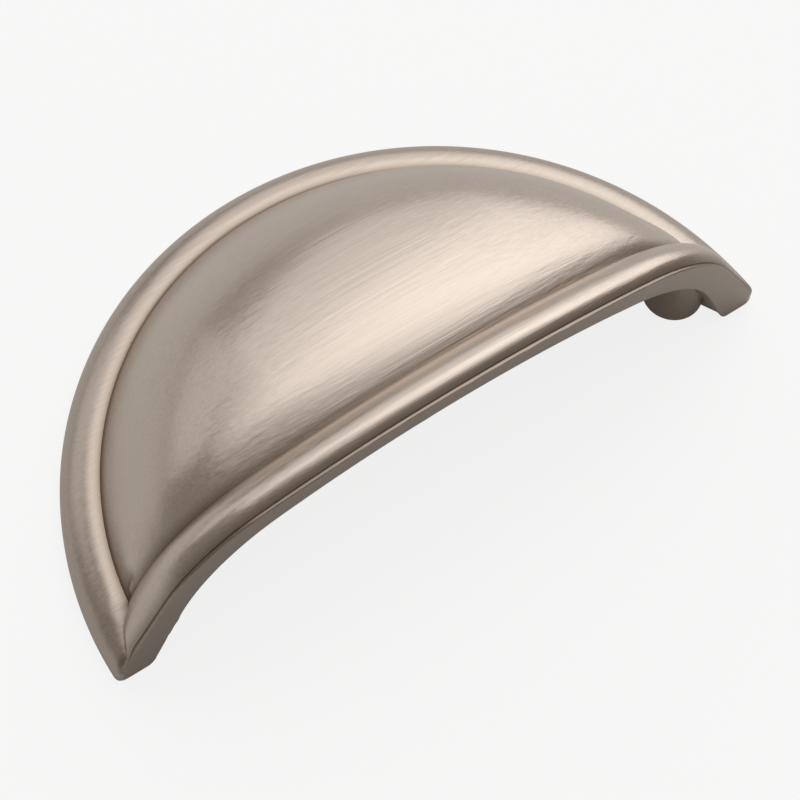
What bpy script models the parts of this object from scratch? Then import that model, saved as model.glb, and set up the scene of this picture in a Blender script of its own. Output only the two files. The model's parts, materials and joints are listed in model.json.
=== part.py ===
"""Half-moon cup pull, cast in one piece: a round rim, a pillowed field, a beaded lip and two screw posts.

Metres, +Z up. The pull lies on its flat back, which is the face that meets the drawer front. X runs along
its length, the open side faces -Y and the half-round side faces +Y. The origin is the middle of the box
that holds the pull, on the back plane. The sections below are drawn with their zero on the front plane.
"""
import math

import bmesh
import bpy
from mathutils import Vector

# Screw posts
HOLE_SPACING = 0.0762
POST_DIAMETER = 0.0076
POST_SETBACK = 0.0061
POST_CHAMFER = 0.0002
HOLE_DIAMETER = 0.0034
HOLE_DEPTH = 0.0052
HOLE_CHAMFER = 0.0004
DRILL_POINT = math.radians(118)

# Half-round outline and its rim
END_MARGIN = 0.0079
TIP_ROUND = 0.0008
BACK_EDGE_BREAK = 0.0003
RIM_SIDE = 0.0020
RIM_WIDTH = 0.0049
RIM_GROOVE_HEIGHT = 0.0051
RIM_BULGE = 0.0011

# Mouth: the inner edge of the open side, an arch of a crown, two shoulders and two straight legs
MOUTH_HEIGHT = 0.02265
MOUTH_CROWN_RADIUS = 0.107
MOUTH_SHOULDER_RADIUS = 0.0187
MOUTH_LEG_ANGLE = math.radians(66.4)
FOOT_WIDTH = 0.0047
FOOT_ROUND = 0.0020
FOOT_ROUND_START = math.radians(25)

# Lip: the outer edge of the flat front face, an arch that ends on the rim
LIP_THICKNESS = 0.00275
LIP_CROWN_RADIUS = 0.140
LIP_SHOULDER_RADIUS = 0.0175
LIP_LEG_ANGLE = math.radians(60.6)
LIP_END_INSET = 0.0014

# Bead behind the lip and the groove behind the bead
BEAD_WIDTH = 0.0060
BEAD_DROP = 0.00335
GROOVE_CROWN_RADIUS = 0.125
GROOVE_SHOULDER_RADIUS = 0.0200
GROOVE_LEG_ANGLE = math.radians(72)
BACK_RISE = 0.80
BACK_RISE_AT_TIP = 0.44
BACK_RUN = 0.18
FRONT_RISE = 0.50
FRONT_RISE_AT_TIP = 0.12
TIP_RISE_REACH = 0.60
FRONT_RUN = 0.39
BEAD_STEP = 0.00025
STEP_LEAN = 0.15
LEDGE_WIDTH = 0.00042
CREASE_EXPONENT = 1.8

# Pillowed field between the rim and the bead
FIELD_SLOPE = math.tan(math.radians(63))
FIELD_BLUNTEST = 1.35
FIELD_FULLEST = 3.2
PILLOW = 0.0014
PILLOW_ROLL = 0.0065
WIDEST_ROLL_SHARE = 0.6
TALLEST_PILLOW_SHARE = 0.25

# Hollow back
RIM_WALL = 0.0013
CEILING_DROP = 0.0026
CEILING_REACH = 0.0065
LOWEST_SHARE = 0.3
CORE_EXPONENT = 2.0
FLARE_REACH = 0.0042

# Facets
TIP_STATIONS = 10
CORNER_STATIONS = 4
FIELD_STATIONS = 38
RIM_STEPS = 8
FLANK_STEPS = 15
ROLL_STEPS = 7
BEAD_STEPS = 9
FOOT_STATIONS = 3
CORE_STATIONS = 26
CORE_STEPS = 14
POST_SIDES = 48
HOLE_SIDES = 32
CUT_OVERRUN = 0.002
SHARP_ANGLE = math.radians(32)
WELD = 0.000001

# Sizes that follow from those above
OUTLINE_RADIUS = HOLE_SPACING / 2 + END_MARGIN
GROOVE_RADIUS = OUTLINE_RADIUS - RIM_WIDTH
CAVITY_RADIUS = GROOVE_RADIUS - RIM_WALL
LIP_HEIGHT = MOUTH_HEIGHT + LIP_THICKNESS
JUNCTION = Vector((-math.sqrt(GROOVE_RADIUS**2 - BEAD_WIDTH**2), BEAD_WIDTH, RIM_GROOVE_HEIGHT))
FORWARD = Vector((0, -1, 0))
FRONT_PLANE = Vector((0, -OUTLINE_RADIUS / 2, 0))


def empty_scene():
    for obj in list(bpy.data.objects):
        bpy.data.objects.remove(obj, do_unlink=True)


def collection(name):
    made = bpy.data.collections.new(name)
    bpy.context.scene.collection.children.link(made)
    return made


def satin_nickel():
    """Brushed nickel plate, a warm grey metal."""
    material = bpy.data.materials.new("brushed_nickel_plate")
    material.use_nodes = True
    shader = material.node_tree.nodes["Principled BSDF"]
    shader.inputs["Base Color"].default_value = (0.50, 0.43, 0.37, 1)
    shader.inputs["Metallic"].default_value = 1.0
    shader.inputs["Roughness"].default_value = 0.34
    material.diffuse_color = (0.50, 0.43, 0.37, 1)
    return material


def eased(share):
    """Falls from 1 to 0 with no slope at its end, and stays 0 beyond it."""
    return max(0.0, 1.0 - share) ** 2


def bowed(start, end, outward, bulge, steps):
    """Points of the circular arc from start to end that bows towards outward by bulge at its middle."""
    chord = end - start
    half = chord.length / 2
    if half < WELD or bulge < WELD:
        return [start.lerp(end, step / steps) for step in range(steps + 1)]
    along = chord.normalized()
    rise = (outward - along * outward.dot(along)).normalized()
    radius = (half**2 + bulge**2) / (2 * bulge)
    centre = (start + end) / 2 - rise * (radius - bulge)
    opening = math.atan2(half, radius - bulge)
    points = []
    for step in range(steps + 1):
        angle = opening * (2 * step / steps - 1)
        points.append(centre + along * radius * math.sin(angle) + rise * radius * math.cos(angle))
    return points


def three_centred_arch(height, crown_radius, shoulder_radius, leg_angle, start):
    """The left half of an arch in the front plane: a straight leg from start, a shoulder and a flat crown.

    Returns a function that takes a share of the half's length and gives the point and its outward normal.
    """
    leg = Vector((math.cos(leg_angle), 0, math.sin(leg_angle)))
    leg_normal = Vector((-math.sin(leg_angle), 0, math.cos(leg_angle)))
    crown_centre = Vector((0, 0, height - crown_radius))
    offset = start - leg_normal * shoulder_radius - crown_centre
    reach = offset.dot(leg)
    gap = crown_radius - shoulder_radius
    leg_length = math.sqrt(reach**2 - offset.length_squared + gap**2) - reach
    shoulder_centre = start + leg * leg_length - leg_normal * shoulder_radius
    to_shoulder = shoulder_centre - crown_centre
    leg_turn = math.pi / 2 + leg_angle
    crown_turn = math.atan2(to_shoulder.z, to_shoulder.x)
    shoulder_length = shoulder_radius * (leg_turn - crown_turn)
    crown_length = crown_radius * (crown_turn - math.pi / 2)

    def at(share):
        length = share * (leg_length + shoulder_length + crown_length)
        if length < leg_length:
            return start + leg * length, leg_normal
        length -= leg_length
        if length < shoulder_length:
            centre, radius, turn = shoulder_centre, shoulder_radius, leg_turn
        else:
            length -= shoulder_length
            centre, radius, turn = crown_centre, crown_radius, crown_turn
        angle = turn - length / radius
        normal = Vector((math.cos(angle), 0, math.sin(angle)))
        return centre + normal * radius, normal

    return at, leg_length + shoulder_length + crown_length


def on_circle(radius, angle, height=0.0):
    return Vector((radius * math.cos(angle), radius * math.sin(angle), height))


def rim_end():
    """The point of the rim's round, in the front plane, where the lip's edge starts."""
    outer = Vector((-OUTLINE_RADIUS, 0, RIM_SIDE))
    groove = Vector((-GROOVE_RADIUS, 0, RIM_GROOVE_HEIGHT))
    chord = groove - outer
    along = chord.normalized()
    rise = Vector((along.z * -1, 0, along.x))
    radius = ((chord.length / 2) ** 2 + RIM_BULGE**2) / (2 * RIM_BULGE)
    centre = (outer + groove) / 2 - rise * (radius - RIM_BULGE)
    x = LIP_END_INSET - OUTLINE_RADIUS
    return Vector((x, 0, centre.z + math.sqrt(radius**2 - (x - centre.x) ** 2)))


def tip_outline(station):
    """A point of the back outline between the rounded tip and the line through the junction."""
    if station <= CORNER_STATIONS:
        angle = math.pi * (1.5 - 0.5 * station / CORNER_STATIONS)
        return Vector((TIP_ROUND - OUTLINE_RADIUS, TIP_ROUND, 0)) + on_circle(TIP_ROUND, angle)
    first = math.pi - math.asin(TIP_ROUND / OUTLINE_RADIUS)
    last = math.atan2(JUNCTION.y, JUNCTION.x)
    share = (station - CORNER_STATIONS) / (TIP_STATIONS - CORNER_STATIONS)
    return on_circle(OUTLINE_RADIUS, first + (last - first) * share)


def crease_point(share, start):
    """The line where the bead meets the rim, from the front plane back to the junction of the grooves."""
    point = start.lerp(JUNCTION, share)
    point.z = start.z + (JUNCTION.z - start.z) * share**CREASE_EXPONENT
    return point


def field_points(rim_groove, bead_groove):
    """A crowned curve from the rim's groove up over the pillow, rolled down into the bead's groove."""
    plan = Vector((bead_groove.x - rim_groove.x, bead_groove.y - rim_groove.y, 0))
    span = plan.length
    if span < WELD:
        return [rim_groove.copy() for _ in range(FLANK_STEPS + ROLL_STEPS + 1)]
    roll = min(PILLOW_ROLL, WIDEST_ROLL_SHARE * span)
    pillow = min(PILLOW, TALLEST_PILLOW_SHARE * span)
    climb = bead_groove.z + pillow - rim_groove.z
    inward = Vector((-rim_groove.x, -rim_groove.y, 0)).normalized()
    slope = FIELD_SLOPE * inward.dot(plan) / span
    exponent = min(FIELD_FULLEST, max(FIELD_BLUNTEST, slope * span / climb))
    shares = [1 - (1 - roll / span) * step / FLANK_STEPS for step in range(FLANK_STEPS)]
    shares += [roll / span * (1 - step / ROLL_STEPS) for step in range(ROLL_STEPS + 1)]
    points = []
    for away in shares:
        height = climb * (1 - away**exponent) - pillow * eased(away * span / roll)
        points.append(rim_groove + plan * (1 - away) + Vector((0, 0, height)))
    return points


def bead_points(groove, end, normal, near_tip):
    """A smooth hump from the groove up its steep back, over the crest and down to the lip's step."""
    back_rise = BACK_RISE + (BACK_RISE_AT_TIP - BACK_RISE) * near_tip
    front_rise = FRONT_RISE + (FRONT_RISE_AT_TIP - FRONT_RISE) * near_tip
    width = (groove - end).dot(-FORWARD)
    depth = (end - groove).dot(normal)
    back = groove + normal * back_rise * depth + FORWARD * BACK_RUN * width
    front = end + normal * front_rise * depth - FORWARD * FRONT_RUN * width
    points = []
    for step in range(BEAD_STEPS + 1):
        t = step / BEAD_STEPS
        rest = 1 - t
        points.append(groove * rest**3 + back * 3 * rest**2 * t + front * 3 * rest * t**2 + end * t**3)
    return points


def body_sections():
    """Closed sections of the solid casting, from the left tip to the middle, all with as many points."""
    lip_start = rim_end()
    lip_args = (LIP_CROWN_RADIUS, LIP_SHOULDER_RADIUS, LIP_LEG_ANGLE)
    lip_arch, lip_length = three_centred_arch(LIP_HEIGHT, *lip_args, lip_start)
    groove_args = (GROOVE_CROWN_RADIUS, GROOVE_SHOULDER_RADIUS, GROOVE_LEG_ANGLE)
    groove_start = Vector((JUNCTION.x, 0, JUNCTION.z))
    groove_arch, _ = three_centred_arch(LIP_HEIGHT - BEAD_DROP, *groove_args, groove_start)
    lip_leg = Vector((math.cos(LIP_LEG_ANGLE), 0, math.sin(LIP_LEG_ANGLE)))
    lip_junction_share = max(0.01, (groove_start - lip_start).dot(lip_leg) / lip_length)
    junction_lip, _ = lip_arch(lip_junction_share)
    full_rim = (on_circle(OUTLINE_RADIUS, 0, RIM_SIDE) - on_circle(GROOVE_RADIUS, 0, RIM_GROOVE_HEIGHT)).length
    full_bead = (junction_lip - JUNCTION).length
    junction_angle = math.atan2(JUNCTION.y, JUNCTION.x)
    sections = []
    for station in range(TIP_STATIONS + FIELD_STATIONS + 1):
        if station <= TIP_STATIONS:
            share = station / TIP_STATIONS
            outline = tip_outline(station)
            rim_groove = bead_groove = crease_point(share, lip_start)
            lip, normal = lip_arch(lip_junction_share * share)
            near_tip = 1.0
        else:
            share = (station - TIP_STATIONS) / FIELD_STATIONS
            angle = junction_angle + (math.pi / 2 - junction_angle) * share
            outline = on_circle(OUTLINE_RADIUS, angle)
            rim_groove = on_circle(GROOVE_RADIUS, angle, RIM_GROOVE_HEIGHT)
            bead_groove, _ = groove_arch(share)
            bead_groove = bead_groove + Vector((0, BEAD_WIDTH, 0))
            lip, normal = lip_arch(lip_junction_share + (1 - lip_junction_share) * share)
            near_tip = eased(share / TIP_RISE_REACH)
        side_top = outline + Vector((0, 0, RIM_SIDE))
        rim_chord = (rim_groove - side_top).length
        bead_chord = (lip - bead_groove).length
        inward = Vector((outline.x, outline.y, 0)).normalized() * BACK_EDGE_BREAK
        section = [outline - inward, outline + Vector((0, 0, BACK_EDGE_BREAK))]
        rim_bulge = RIM_BULGE * min(1.0, rim_chord / full_rim)
        section += bowed(side_top, rim_groove, Vector((0, 0, 1)), rim_bulge, RIM_STEPS)
        section += field_points(rim_groove, bead_groove)[1:]
        fullness = min(1.0, bead_chord / full_bead)
        ledge = lip - FORWARD * LEDGE_WIDTH * fullness
        bead_end = ledge + (normal - FORWARD * STEP_LEAN) * BEAD_STEP * fullness
        section += bead_points(bead_groove, bead_end, normal, near_tip)[1:]
        section += [ledge, lip]
        section.append(Vector((lip.x, 0, 0)))
        sections.append(section)
    return sections


def mouth_points():
    """The left half of the mouth's edge in the front plane, from the rounded foot to the middle."""
    foot = Vector((FOOT_WIDTH - OUTLINE_RADIUS, 0, 0))
    mouth_args = (MOUTH_CROWN_RADIUS, MOUTH_SHOULDER_RADIUS, MOUTH_LEG_ANGLE)
    arch, length = three_centred_arch(MOUTH_HEIGHT, *mouth_args, foot)
    rise = FOOT_ROUND * (math.cos(FOOT_ROUND_START) - math.cos(MOUTH_LEG_ANGLE))
    first = rise / math.sin(MOUTH_LEG_ANGLE) / length
    tangent, normal = arch(first)
    centre = tangent + normal * FOOT_ROUND
    points = []
    for step in range(FOOT_STATIONS):
        turn = FOOT_ROUND_START + (MOUTH_LEG_ANGLE - FOOT_ROUND_START) * step / FOOT_STATIONS
        points.append(centre + Vector((math.sin(turn), 0, -math.cos(turn))) * FOOT_ROUND)
    for station in range(CORE_STATIONS + 1):
        points.append(arch(first + (1 - first) * station / CORE_STATIONS)[0])
    return points


def cavity_depth(x, foot_x):
    """How far back the hollow reaches at x: a half circle that flares out to the foot near the front plane."""
    waist_x = -math.sqrt(CAVITY_RADIUS**2 - FLARE_REACH**2)
    if x < waist_x:
        return FLARE_REACH * (x - foot_x) / (waist_x - foot_x)
    return math.sqrt(CAVITY_RADIUS**2 - x**2)


def core_sections():
    """Upright sections of the hollow, from the left foot to the middle, run out past the back and the mouth."""
    down = Vector((0, 0, -CUT_OVERRUN))
    mouths = mouth_points()
    sections = []
    for mouth in mouths:
        floor = Vector((mouth.x, 0, 0))
        back = floor - FORWARD * cavity_depth(mouth.x, mouths[0].x)
        section = [back + down]
        for step in range(CORE_STEPS + 1):
            turn = math.pi / 2 * step / CORE_STEPS
            away = math.cos(turn) ** (2 / CORE_EXPONENT)
            rise = math.sin(turn) ** (2 / CORE_EXPONENT)
            plan = floor.lerp(back, away)
            drop = min(CEILING_DROP, LOWEST_SHARE * mouth.z) * (1 - eased(plan.y / CEILING_REACH))
            section.append(plan + Vector((0, 0, (mouth.z - drop) * rise)))
        section.append(mouth + FORWARD * CUT_OVERRUN)
        section.append(floor + FORWARD * CUT_OVERRUN + down)
        sections.append(section)
    return sections


def half_loft(name, sections, home):
    """Joins the closed sections, caps the first one and mirrors the half across the middle."""
    mesh = bpy.data.meshes.new(name)
    shape = bmesh.new()
    rings = [[shape.verts.new(point) for point in section] for section in sections]
    shape.faces.new(reversed(rings[0]))
    for ring, after in zip(rings, rings[1:]):
        for place in range(len(ring)):
            before = place - 1
            shape.faces.new((ring[before], ring[place], after[place], after[before]))
    bmesh.ops.remove_doubles(shape, verts=shape.verts, dist=WELD)
    bmesh.ops.dissolve_degenerate(shape, edges=shape.edges, dist=WELD)
    shape.to_mesh(mesh)
    shape.free()
    obj = bpy.data.objects.new(name, mesh)
    home.objects.link(obj)
    obj.location = FRONT_PLANE
    mirror = obj.modifiers.new("other_half", "MIRROR")
    mirror.use_axis = (True, False, False)
    mirror.merge_threshold = 0.00001
    return obj


def turned(name, profile, sides, axis_point, home):
    """Turns a profile of (radius, height) about the upright axis through axis_point."""
    mesh = bpy.data.meshes.new(name)
    points = [(radius, 0, height) for radius, height in profile]
    lines = [(place, place + 1) for place in range(len(points) - 1)]
    mesh.from_pydata(points, lines, [])
    obj = bpy.data.objects.new(name, mesh)
    home.objects.link(obj)
    obj.location = FRONT_PLANE + Vector(axis_point)
    screw = obj.modifiers.new("turn", "SCREW")
    screw.steps = sides
    screw.render_steps = sides
    screw.use_merge_vertices = True
    screw.merge_threshold = WELD
    return obj


def as_cutter(obj):
    obj.hide_render = True
    obj.display_type = "WIRE"


def boolean(obj, other, operation):
    cut = obj.modifiers.new(f"{operation.lower()}_{other.name}", "BOOLEAN")
    cut.operation = operation
    cut.solver = "EXACT"
    cut.object = other


def post_form(side, home):
    """What the hollow leaves standing as a post."""
    radius = POST_DIAMETER / 2
    top = LIP_HEIGHT
    bottom = -2 * CUT_OVERRUN
    end = radius - POST_CHAMFER
    profile = [(0, top), (radius, top), (radius, POST_CHAMFER), (end, 0), (end, bottom), (0, bottom)]
    name = "post_form_left" if side < 0 else "post_form_right"
    return turned(name, profile, POST_SIDES, (side * HOLE_SPACING / 2, POST_SETBACK, 0), home)


def hole_form(side, home):
    """A blind hole of tapping size with a drill point and a chamfered mouth."""
    radius = HOLE_DIAMETER / 2
    point = radius / math.tan(DRILL_POINT / 2)
    wide = radius + HOLE_CHAMFER
    profile = [(0, HOLE_DEPTH + point), (radius, HOLE_DEPTH), (radius, HOLE_CHAMFER), (wide, 0)]
    profile += [(wide, -CUT_OVERRUN), (0, -CUT_OVERRUN)]
    name = "hole_form_left" if side < 0 else "hole_form_right"
    return turned(name, profile, HOLE_SIDES, (side * HOLE_SPACING / 2, POST_SETBACK, 0), home)


def main():
    empty_scene()
    parts = collection("cup_pull_parts")
    cutters = collection("cutters")
    casting = half_loft("cup_pull", body_sections(), parts)
    casting.data.materials.append(satin_nickel())
    core = half_loft("hollow_core", core_sections(), cutters)
    as_cutter(core)
    holes = []
    for side in (-1, 1):
        post = post_form(side, cutters)
        as_cutter(post)
        boolean(core, post, "DIFFERENCE")
        hole = hole_form(side, cutters)
        as_cutter(hole)
        holes.append(hole)
    boolean(casting, core, "DIFFERENCE")
    for hole in holes:
        boolean(casting, hole, "DIFFERENCE")
    casting.data.shade_smooth()
    casting.data.set_sharp_from_angle(angle=SHARP_ANGLE)


main()
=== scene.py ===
"""Half-moon cup pull in brushed nickel plate, lying on its back on a pale floor under soft studio light.

Metres, +Z up. X runs along the pull's length and the open side faces -Y. The pull's flat back lies at Z 0.
"""
import json
import math

import bmesh
import bpy
from mathutils import Matrix, Vector
from mathutils.kdtree import KDTree

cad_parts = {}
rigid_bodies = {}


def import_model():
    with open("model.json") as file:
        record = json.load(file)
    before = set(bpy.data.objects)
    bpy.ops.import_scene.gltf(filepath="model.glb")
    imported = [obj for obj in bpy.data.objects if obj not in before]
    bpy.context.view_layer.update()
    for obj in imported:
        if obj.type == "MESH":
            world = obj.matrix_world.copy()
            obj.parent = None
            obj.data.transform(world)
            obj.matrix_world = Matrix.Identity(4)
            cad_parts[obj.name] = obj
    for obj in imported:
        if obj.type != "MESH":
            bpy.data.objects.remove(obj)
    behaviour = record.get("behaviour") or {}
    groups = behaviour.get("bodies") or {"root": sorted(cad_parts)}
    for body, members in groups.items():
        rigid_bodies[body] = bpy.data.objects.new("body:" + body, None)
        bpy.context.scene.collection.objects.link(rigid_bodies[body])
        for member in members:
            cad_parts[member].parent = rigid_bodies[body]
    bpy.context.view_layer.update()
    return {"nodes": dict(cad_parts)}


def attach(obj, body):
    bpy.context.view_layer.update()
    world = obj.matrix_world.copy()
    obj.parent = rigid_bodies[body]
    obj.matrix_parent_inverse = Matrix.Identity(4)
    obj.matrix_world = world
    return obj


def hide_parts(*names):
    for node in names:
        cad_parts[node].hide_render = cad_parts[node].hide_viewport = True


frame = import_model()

# The casting
# One zinc die casting, a hollow dome with a round rim, a beaded lip and two screw posts. It is plated with
# nickel and brushed along its length outside, the hollow keeps the skin of the die, and the bores are tapped
# after plating.
EDGE_ANGLE = math.radians(30)
CREASE_ANGLE = math.radians(45)
GROOVE_ANGLE = math.radians(20)
QUAD_BEND = math.radians(25)
QUAD_SKEW = math.radians(70)
EDGE_CREASE = 0.88
WELD = 0.000004
BACK_EDGE = 0.00045


def select_only(obj):
    """Leaves this object alone selected and active."""
    bpy.ops.object.select_all(action="DESELECT")
    obj.select_set(True)
    bpy.context.view_layer.objects.active = obj


casting_cad = frame["nodes"]["cup_pull"]
casting = bpy.data.objects.new("cup_pull_casting", casting_cad.data.copy())
casting.data.name = "cup_pull_casting"
bpy.context.scene.collection.objects.link(casting)
select_only(casting)
bpy.ops.object.mode_set(mode="EDIT")
bpy.ops.mesh.select_all(action="SELECT")
bpy.ops.mesh.remove_doubles(threshold=WELD)
bpy.ops.mesh.dissolve_degenerate(threshold=WELD)
bpy.ops.mesh.tris_convert_to_quads(face_threshold=QUAD_BEND, shape_threshold=QUAD_SKEW)
bpy.ops.mesh.mark_sharp(clear=True)
bpy.ops.mesh.select_mode(type="EDGE")
bpy.ops.mesh.select_all(action="DESELECT")
bpy.ops.mesh.edges_select_sharp(sharpness=EDGE_ANGLE)
bpy.ops.mesh.mark_sharp()
bpy.ops.mesh.select_all(action="DESELECT")
bpy.ops.mesh.edges_select_sharp(sharpness=CREASE_ANGLE)
bpy.ops.transform.edge_crease(value=EDGE_CREASE)

# The edges round the flat back stay fully sharp when the skin is smoothed.
bpy.ops.mesh.select_all(action="DESELECT")
bpy.ops.mesh.edges_select_sharp(sharpness=GROOVE_ANGLE)
shape = bmesh.from_edit_mesh(casting.data)
for edge in shape.edges:
    if max(vertex.co.z for vertex in edge.verts) > BACK_EDGE:
        edge.select_set(False)
bmesh.update_edit_mesh(casting.data)
bpy.ops.transform.edge_crease(value=1)

# The bore in each post is opened from tapping size to the thread's outer size. The reach of 8.1 mm is more
# than the bore's 6.2 mm, so three points of the casting above each bore are pushed out by under 0.4 mm too.
POST_X = 0.0381
POST_Y = -0.0169
BORE_RADIUS = 0.0017
BORE_MOUTH_RADIUS = 0.0021
BORE_TIP = 0.0064
THREAD_RADIUS = 0.00205
WIDENING_REACH = BORE_TIP + BORE_RADIUS
BETWEEN_WALL_AND_MOUTH = (BORE_RADIUS + BORE_MOUTH_RADIUS) / 2


def from_post(point):
    """How far a point lies from the nearer post's axis, seen from above."""
    return math.hypot(abs(point.x) - POST_X, point.y - POST_Y)


def select_points(obj, wanted):
    """Selects the vertices for which wanted(point) holds, and nothing else."""
    bpy.ops.mesh.select_mode(type="VERT")
    bpy.ops.mesh.select_all(action="DESELECT")
    shape = bmesh.from_edit_mesh(obj.data)
    for vertex in shape.verts:
        if wanted(vertex.co):
            vertex.select_set(True)
    bmesh.update_edit_mesh(obj.data)


growth = THREAD_RADIUS / BORE_RADIUS
for side in (-1, 1):
    select_points(casting, lambda point: point.x * side > 0 and point.z < WIDENING_REACH
                  and from_post(point) < BETWEEN_WALL_AND_MOUTH)
    bpy.ops.transform.resize(value=(growth, growth, 1), center_override=(side * POST_X, POST_Y, 0))

# Brushed nickel plate: a warm grey metal with fine lines along the length, which spread a highlight across
# them. The brush leaves single lines and broader bands. A real line is a few hundredths of a millimetre wide
# and is drawn coarser here, so that it shows. In the grooves and low on the rim the colour is painted darker
# and browner: painted shade.
BRUSH_LINE = 0.00022
BRUSH_LINE_LENGTH = 0.016
BRUSH_LINE_DEPTH = 0.000009
BRUSH_BAND = 0.0007
BRUSH_BAND_LENGTH = 0.022
BRUSH_BAND_DEPTH = 0.000034
# Where the painted shade falls low on the rim and near the grooves, and how strongly it darkens the plate.
RIM_FADE_TOP = 0.0060
RIM_FADE_FOOT = 0.0030
RIM_SHADE_SHARE = 0.4
GROOVE_FALL = 1.4
PAINTED_SHADE_SHARE = 0.8


def linear(code):
    """The linear colour of an sRGB hex code."""
    channels = []
    for place in (1, 3, 5):
        share = int(code[place:place + 2], 16) / 255
        channels.append(share / 12.92 if share <= 0.04045 else ((share + 0.055) / 1.055) ** 2.4)
    return (*channels, 1)


def material(name):
    """A new material, its node tree and its Principled shader."""
    made = bpy.data.materials.new(name)
    made.use_nodes = True
    return made, made.node_tree, made.node_tree.nodes["Principled BSDF"]


def add_node(tree, kind, settings=None, links=None):
    """Adds a node, sets its values and sockets, and links other nodes' outputs to its inputs."""
    made = tree.nodes.new(kind)
    for key, value in (settings or {}).items():
        if isinstance(key, str) and hasattr(made, key):
            setattr(made, key, value)
        else:
            made.inputs[key].default_value = value
    for key, output in (links or {}).items():
        tree.links.new(output, made.inputs[key])
    return made


def brushed(tree, place, width, length):
    """Noise drawn out along the pull's length, with strokes of this width and length."""
    scale = (1 / length, 1 / width, 1 / width)
    drawn = add_node(tree, "ShaderNodeMapping", {"Scale": scale}, {"Vector": place}).outputs["Vector"]
    settings = {"Scale": 1.0, "Detail": 2.0, "Roughness": 0.55}
    return add_node(tree, "ShaderNodeTexNoise", settings, {"Vector": drawn}).outputs["Fac"]


nickel, tree, shader = material("brushed_nickel_plate")
place = add_node(tree, "ShaderNodeTexCoord").outputs["Object"]
lines = brushed(tree, place, BRUSH_LINE, BRUSH_LINE_LENGTH)
bands = brushed(tree, place, BRUSH_BAND, BRUSH_BAND_LENGTH)
tone = add_node(tree, "ShaderNodeMix", {"data_type": "RGBA", 6: linear("#B3A79C"), 7: linear("#D6CBC1")},
                {"Factor": lines})
# Near the grooves the colour is mixed towards a dark brown: painted shade in the creases.
near_groove = add_node(tree, "ShaderNodeAttribute", {"attribute_name": "recess"})
groove = add_node(tree, "ShaderNodeMath", {"operation": "POWER", 1: GROOVE_FALL},
                  {0: near_groove.outputs["Fac"]})
# Low on the rim, from 6 mm down to 3 mm above the back, the colour darkens as well: painted shade, for the
# shadowed floor that the rim reflects.
height = add_node(tree, "ShaderNodeSeparateXYZ", None, {0: place})
low_rim_shade_range = {"From Min": RIM_FADE_TOP, "From Max": RIM_FADE_FOOT, "To Min": 0.0, "To Max": RIM_SHADE_SHARE}
rim = add_node(tree, "ShaderNodeMapRange", low_rim_shade_range, {"Value": height.outputs["Z"]})
# The groove shade and the low-rim shade, whichever is stronger, darken the tone towards dark brown: painted
# shade.
painted_groove_and_rim_shade = add_node(tree, "ShaderNodeMath", {"operation": "MAXIMUM"},
                 {0: groove.outputs[0], 1: rim.outputs[0]})
painted_groove_and_rim_shade = add_node(tree, "ShaderNodeMath", {"operation": "MULTIPLY", 1: PAINTED_SHADE_SHARE}, {0: painted_groove_and_rim_shade.outputs[0]})
tone = add_node(tree, "ShaderNodeMix", {"data_type": "RGBA", 7: linear("#776858")},
                {"Factor": painted_groove_and_rim_shade.outputs[0], 6: tone.outputs[2]})
gloss_range = {"From Min": 0.3, "From Max": 0.7, "To Min": 0.29, "To Max": 0.37}
gloss = add_node(tree, "ShaderNodeMapRange", gloss_range, {"Value": lines})
broad = add_node(tree, "ShaderNodeBump", {"Strength": 1.0, "Distance": BRUSH_BAND_DEPTH}, {"Height": bands})
relief = add_node(tree, "ShaderNodeBump", {"Strength": 1.0, "Distance": BRUSH_LINE_DEPTH},
                  {"Height": lines, "Normal": broad.outputs["Normal"]})
lengthwise = add_node(tree, "ShaderNodeCombineXYZ", {"X": 1.0})
shader.inputs["Metallic"].default_value = 1.0
shader.inputs["Anisotropic"].default_value = 0.4
tree.links.new(tone.outputs[2], shader.inputs["Base Color"])
tree.links.new(gloss.outputs["Result"], shader.inputs["Roughness"])
tree.links.new(relief.outputs["Normal"], shader.inputs["Normal"])
tree.links.new(lengthwise.outputs["Vector"], shader.inputs["Tangent"])

# Nickel plate over the skin of the die, inside the hollow and on the posts: unbrushed and duller, with the
# soft uneven skin of a casting, whose waves are about a millimetre long. Its colour is painted darker than
# the
# outside: painted shade in the hollow under the lip.
SKIN_WAVE = 0.0010
SKIN_DEPTH = 0.00003
skin_and_shade_plate, tree, shader = material("die_skin_nickel_and_painted_shade")
place = add_node(tree, "ShaderNodeTexCoord").outputs["Object"]
waves = add_node(tree, "ShaderNodeTexNoise", {"Scale": 1 / SKIN_WAVE, "Detail": 3.0}, {"Vector": place})
waves = waves.outputs["Fac"]
# This tone is darker than the outside's: painted shade in the hollow.
tone = add_node(tree, "ShaderNodeMix", {"data_type": "RGBA", 6: linear("#988D80"), 7: linear("#A89D90")},
                {"Factor": waves})
dull_range = {"From Min": 0.3, "From Max": 0.7, "To Min": 0.38, "To Max": 0.5}
dull = add_node(tree, "ShaderNodeMapRange", dull_range, {"Value": waves})
skin = add_node(tree, "ShaderNodeBump", {"Strength": 1.0, "Distance": SKIN_DEPTH}, {"Height": waves})
shader.inputs["Metallic"].default_value = 1.0
tree.links.new(tone.outputs[2], shader.inputs["Base Color"])
tree.links.new(dull.outputs["Result"], shader.inputs["Roughness"])
tree.links.new(skin.outputs["Normal"], shader.inputs["Normal"])

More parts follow.
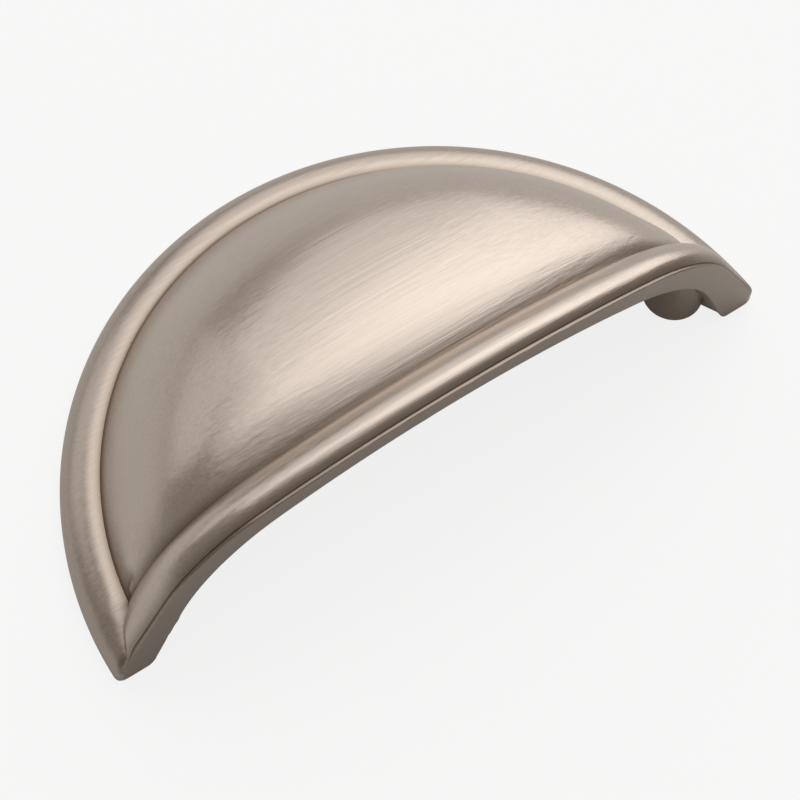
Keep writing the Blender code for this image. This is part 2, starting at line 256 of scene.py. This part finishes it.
# Nickel plate on the flat front face of the lip: ground flat and plated but not brushed, with about the same
# gloss as the rest. Its colour is painted browner and darker than the rest: painted shade, for the shadowed
# floor that this face reflects. Its faint grain is drawn coarser than the real one.
FACE_GRAIN = 0.0004
FACE_GRAIN_LENGTH = 0.006
FACE_GRAIN_DEPTH = 0.000006
front_face_shaded_plate, tree, shader = material("front_face_nickel_painted_shade")
place = add_node(tree, "ShaderNodeTexCoord").outputs["Object"]
grain = brushed(tree, place, FACE_GRAIN, FACE_GRAIN_LENGTH)
# The darker, browner tone of this face is painted shade.
tone = add_node(tree, "ShaderNodeMix", {"data_type": "RGBA", 6: linear("#968A7F"), 7: linear("#A1958A")},
                {"Factor": grain})
ground = add_node(tree, "ShaderNodeBump", {"Strength": 1.0, "Distance": FACE_GRAIN_DEPTH}, {"Height": grain})
shader.inputs["Metallic"].default_value = 1.0
shader.inputs["Roughness"].default_value = 0.34
tree.links.new(tone.outputs[2], shader.inputs["Base Color"])
tree.links.new(ground.outputs["Normal"], shader.inputs["Normal"])

# Bare zinc where the bores are drilled and tapped after plating: a neutral, slightly bluish grey with tool
# rings round the bore, drawn a little coarser than the real ones.
RING_SPACING = 0.00012
RING_DEPTH = 0.00001
ROUND_THE_BORE = 60
bare_zinc, tree, shader = material("tapped_bare_zinc")
place = add_node(tree, "ShaderNodeTexCoord").outputs["Object"]
ring_scale = (ROUND_THE_BORE, ROUND_THE_BORE, 1 / RING_SPACING)
ring_place = add_node(tree, "ShaderNodeMapping", {"Scale": ring_scale}, {"Vector": place}).outputs["Vector"]
rings = add_node(tree, "ShaderNodeTexNoise", {"Scale": 1.0, "Detail": 2.0}, {"Vector": ring_place})
rings = rings.outputs["Fac"]
tone = add_node(tree, "ShaderNodeMix", {"data_type": "RGBA", 6: linear("#9A9B9D"), 7: linear("#AEB0B2")},
                {"Factor": rings})
cut = add_node(tree, "ShaderNodeBump", {"Strength": 0.6, "Distance": RING_DEPTH}, {"Height": rings})
shader.inputs["Metallic"].default_value = 1.0
shader.inputs["Roughness"].default_value = 0.36
tree.links.new(tone.outputs[2], shader.inputs["Base Color"])
tree.links.new(cut.outputs["Normal"], shader.inputs["Normal"])

# Each finish is given to its faces. The hollow is all that its sharp edges close in round a patch of ceiling.
NICKEL_SLOT, SKIN_AND_SHADE_SLOT, ZINC_SLOT, FRONT_FACE_SLOT = range(4)
CEILING_POINT = Vector((0, -0.012, 0.020))
CEILING_PATCH = 0.003
FACING_DOWN = -0.5
POST_RADIUS = 0.0038
POST_MARGIN = 0.0001
UPRIGHT = 0.02
FRONT_PLANE_Y = -0.023
FACING_FRONT = -0.99


def select_faces(obj, wanted):
    """Selects the faces for which wanted(centre, normal) holds, and nothing else."""
    bpy.ops.mesh.select_mode(type="FACE")
    bpy.ops.mesh.select_all(action="DESELECT")
    shape = bmesh.from_edit_mesh(obj.data)
    for face in shape.faces:
        if wanted(face.calc_center_median(), face.normal):
            face.select_set(True)
    bmesh.update_edit_mesh(obj.data)


def give_finish(obj, slot):
    """Gives the selected faces the material in this slot."""
    obj.active_material_index = slot
    bpy.ops.object.material_slot_assign()


casting.data.materials.clear()
for finish in (nickel, skin_and_shade_plate, bare_zinc, front_face_shaded_plate):
    casting.data.materials.append(finish)
select_faces(casting, lambda centre, normal: normal.z < FACING_DOWN
             and (centre - CEILING_POINT).length < CEILING_PATCH)
bpy.ops.mesh.select_linked(delimit={"SHARP"})
give_finish(casting, SKIN_AND_SHADE_SLOT)
select_faces(casting, lambda centre, normal: abs(normal.z) < UPRIGHT
             and from_post(centre) < POST_RADIUS + POST_MARGIN)
give_finish(casting, SKIN_AND_SHADE_SLOT)
select_faces(casting, lambda centre, normal: from_post(centre) < BORE_MOUTH_RADIUS and centre.z < BORE_TIP)
give_finish(casting, ZINC_SLOT)
# The flat front face gets the plate with painted shade.
select_faces(casting, lambda centre, normal: normal.y < FACING_FRONT and centre.y < FRONT_PLANE_Y + WELD)
give_finish(casting, FRONT_FACE_SLOT)

# The grooves are the outside's inward creases. How near each point of the skin lies to one is kept on the
# mesh, for the painted shade in the grooves.
GROOVE_REACH = 0.0016
POINTS_ALONG = 4
creases = []
on_crease = set()
shape = bmesh.from_edit_mesh(casting.data)
for edge in shape.edges:
    if len(edge.link_faces) != 2 or edge.calc_face_angle() < GROOVE_ANGLE:
        continue
    one, other = edge.link_faces
    if one.material_index == other.material_index == NICKEL_SLOT:
        if (other.calc_center_median() - one.calc_center_median()).dot(one.normal) > 0:
            start, end = (vertex.co.copy() for vertex in edge.verts)
            creases += [start.lerp(end, step / POINTS_ALONG) for step in range(POINTS_ALONG + 1)]
            on_crease.update(edge.verts)

# Where the two grooves meet, the skin between them is evened out. Then the facets are smoothed away.
JUNCTION = Vector((0.04066, -0.0170, 0.0051))
JUNCTION_REACH = 0.0022
JUNCTION_ROUNDS = 8
SMOOTHING_LEVELS = 2
bpy.ops.mesh.select_mode(type="VERT")
bpy.ops.mesh.select_all(action="DESELECT")
for vertex in shape.verts:
    near = (Vector((abs(vertex.co.x), *vertex.co.yz)) - JUNCTION).length < JUNCTION_REACH
    outside = all(face.material_index == NICKEL_SLOT for face in vertex.link_faces)
    if near and outside and vertex not in on_crease:
        vertex.select_set(True)
bmesh.update_edit_mesh(casting.data)
bpy.ops.mesh.vertices_smooth(factor=0.5, repeat=JUNCTION_ROUNDS)
bpy.ops.object.mode_set(mode="OBJECT")
smoothing = casting.modifiers.new("smoothing", "SUBSURF")
smoothing.levels = smoothing.render_levels = SMOOTHING_LEVELS
bpy.ops.object.modifier_apply(modifier="smoothing")
bpy.ops.object.shade_smooth_by_angle(angle=EDGE_ANGLE)
nearest = KDTree(len(creases))
for number, point in enumerate(creases):
    nearest.insert(point, number)
nearest.balance()
# How near each point lies to a groove, which sets the painted shade there.
recess = casting.data.attributes.new("recess", "FLOAT", "POINT")
recess.data.foreach_set("value", [
    max(0.0, 1 - nearest.find(vertex.co)[2] / GROOVE_REACH) for vertex in casting.data.vertices
])
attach(casting, "root")
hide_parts("cup_pull")

# The threads
# A machine thread of about 4 mm is tapped in each post's blind bore. It is modelled as the ridge that the tap
# leaves, a triangle wound round the bore's axis at the thread's pitch.
THREAD_PITCH = 0.00079
THREAD_TURNS = 6
THREAD_START = 0.00035
THREAD_STEPS = 36
RIDGE_SIDES = 3
RIDGE_CORNER = 0.0003
RIDGE_MIDDLE = 0.00198
QUARTER_TURN = math.pi / 2
for side, name in ((-1, "thread_left"), (1, "thread_right")):
    bpy.ops.object.select_all(action="DESELECT")
    bpy.ops.mesh.primitive_circle_add(vertices=RIDGE_SIDES, radius=RIDGE_CORNER, fill_type="NOTHING",
                                      location=(side * POST_X, POST_Y, THREAD_START),
                                      rotation=(QUARTER_TURN, -QUARTER_TURN, 0))
    thread = bpy.context.active_object
    thread.name = thread.data.name = name
    bpy.ops.object.transform_apply(location=False, rotation=True, scale=False)
    bpy.ops.object.mode_set(mode="EDIT")
    bpy.ops.mesh.select_all(action="SELECT")
    bpy.ops.transform.translate(value=(RIDGE_MIDDLE, 0, 0))
    bpy.ops.object.mode_set(mode="OBJECT")
    winding = thread.modifiers.new("winding", "SCREW")
    winding.screw_offset = THREAD_PITCH
    winding.iterations = THREAD_TURNS
    winding.steps = winding.render_steps = THREAD_STEPS
    bpy.ops.object.modifier_apply(modifier="winding")
    bpy.ops.object.transform_apply(location=True, rotation=False, scale=False)
    bpy.ops.object.mode_set(mode="EDIT")
    bpy.ops.mesh.select_all(action="SELECT")
    bpy.ops.mesh.fill_holes(sides=RIDGE_SIDES)
    bpy.ops.mesh.normals_make_consistent(inside=False)
    bpy.ops.object.mode_set(mode="OBJECT")
    bpy.ops.object.shade_smooth_by_angle(angle=EDGE_ANGLE)
    thread.data.materials.append(bare_zinc)
    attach(thread, "root")

# The floor
# A plain pale studio floor that runs out of view on all sides. It is lifted nearly to white for the camera
# and keeps a soft shadow of the pull. In the metal it is lifted by a tenth only, so it is darker there.
FLOOR_SIZE = 6
FLOOR_GAP = 0.00005
EYE_LIFT = 0.84
METAL_LIFT = 0.1
bpy.ops.object.select_all(action="DESELECT")
bpy.ops.mesh.primitive_plane_add(size=FLOOR_SIZE, location=(0, 0, -FLOOR_GAP))
floor = bpy.context.active_object
floor.name = floor.data.name = "floor"
bpy.ops.object.transform_apply(location=True)

# White paper: matt and even, with no pattern that would show.
paper, tree, shader = material("white_paper")
shader.inputs["Base Color"].default_value = linear("#E8E8E8")
shader.inputs["Roughness"].default_value = 0.9
ray = add_node(tree, "ShaderNodeLightPath")
in_metal = add_node(tree, "ShaderNodeMath", {"operation": "MAXIMUM"},
                    {0: ray.outputs["Is Glossy Ray"], 1: ray.outputs["Is Transmission Ray"]})
in_metal = add_node(tree, "ShaderNodeMath", {"operation": "MULTIPLY", 1: METAL_LIFT},
                    {0: in_metal.outputs[0]})
to_eye = add_node(tree, "ShaderNodeMath", {"operation": "MULTIPLY", 1: EYE_LIFT},
                  {0: ray.outputs["Is Camera Ray"]})
lift = add_node(tree, "ShaderNodeMath", {"operation": "MAXIMUM"},
                {0: in_metal.outputs[0], 1: to_eye.outputs[0]})
white = add_node(tree, "ShaderNodeEmission", {"Strength": 1.0})
blend = add_node(tree, "ShaderNodeMixShader", None,
                 {0: lift.outputs[0], 1: shader.outputs[0], 2: white.outputs[0]})
tree.links.new(blend.outputs[0], tree.nodes["Material Output"].inputs["Surface"])
floor.data.materials.append(paper)

# The studio light
# A large soft light with a smaller one in its middle stands behind and to the right, a third hangs overhead,
# a fourth fills in from behind, and the room around is an even warm grey.
world = bpy.data.worlds.new("grey_studio")
bpy.context.scene.world = world
world.use_nodes = True
room = world.node_tree.nodes["Background"]
room.inputs["Color"].default_value = linear("#948E88")
room.inputs["Strength"].default_value = 1.0


def soft_light(name, azimuth, elevation, distance, size, radiance):
    """A square area light that faces the pull; radiance is how bright its face looks."""
    lamp = bpy.data.lights.new(name, "AREA")
    lamp.shape = "SQUARE"
    lamp.size = size
    lamp.energy = radiance * math.pi * size**2
    made = bpy.data.objects.new(name, lamp)
    bpy.context.scene.collection.objects.link(made)
    turn, rise = math.radians(azimuth), math.radians(elevation)
    away = Vector((math.cos(turn) * math.cos(rise), math.sin(turn) * math.cos(rise), math.sin(rise)))
    made.location = away * distance
    made.rotation_euler = away.to_track_quat("Z", "Y").to_euler()


soft_light("key_light", azimuth=42, elevation=45, distance=1.4, size=2.2, radiance=0.8)
soft_light("key_middle", azimuth=25, elevation=38, distance=1.5, size=1.2, radiance=0.5)
soft_light("top_light", azimuth=30, elevation=75, distance=1.5, size=1.3, radiance=0.6)
soft_light("back_fill", azimuth=115, elevation=25, distance=1.6, size=1.1, radiance=0.5)

# The camera
# It looks down on the open side from the front left, from close by with a moderately long lens, and leans a
# little to one side.
CAMERA_PLACE = Vector((-0.08497, -0.11261, 0.26263))
CAMERA_AZIMUTH = math.radians(40.2311)
CAMERA_ELEVATION = math.radians(63.0371)
CAMERA_LEAN = math.radians(6.4901)
camera_data = bpy.data.cameras.new("camera")
camera_data.lens = 109.67
camera_data.sensor_width = 36
camera_data.clip_start = 0.01
camera_data.clip_end = 20
camera = bpy.data.objects.new("camera", camera_data)
bpy.context.scene.collection.objects.link(camera)
aim = Matrix.Rotation(-CAMERA_AZIMUTH, 4, "Z") @ Matrix.Rotation(math.pi / 2 - CAMERA_ELEVATION, 4, "X")
camera.matrix_world = Matrix.Translation(CAMERA_PLACE) @ aim @ Matrix.Rotation(CAMERA_LEAN, 4, "Z")
bpy.context.scene.camera = camera

bpy.context.scene.view_settings.view_transform = "Standard"

bpy.context.view_layer.update()
